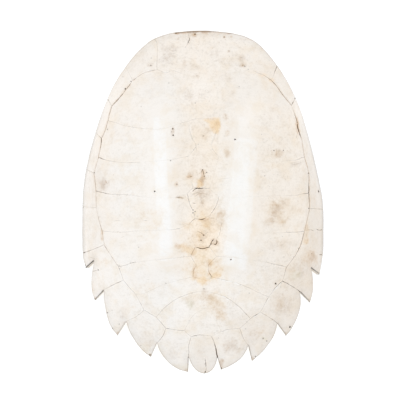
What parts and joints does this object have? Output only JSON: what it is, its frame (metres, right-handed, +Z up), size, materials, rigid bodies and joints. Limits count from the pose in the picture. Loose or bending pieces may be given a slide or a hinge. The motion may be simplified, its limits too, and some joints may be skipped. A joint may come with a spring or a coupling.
{
  "type": "giant river turtle shell",
  "caption": "Bare bony carapace of a large river turtle, dome up and hollow beneath, with a saw-toothed tail rim. It lies on its two flat bridge edges.",
  "frame": {"origin": "on the surface that the shell lies on, under the middle of its bounding box", "axes": "+Z up out of the dome, +Y towards the head end, +X towards the side that is on the right when seen from above with the head end away"},
  "size_m": [0.4831, 0.684, 0.14],
  "materials": {
    "bone": "bare cream-white bone, lightly polished"
  },
  "bodies": {
    "root": {"carapace": "bone"}
  },
  "joints": []
}
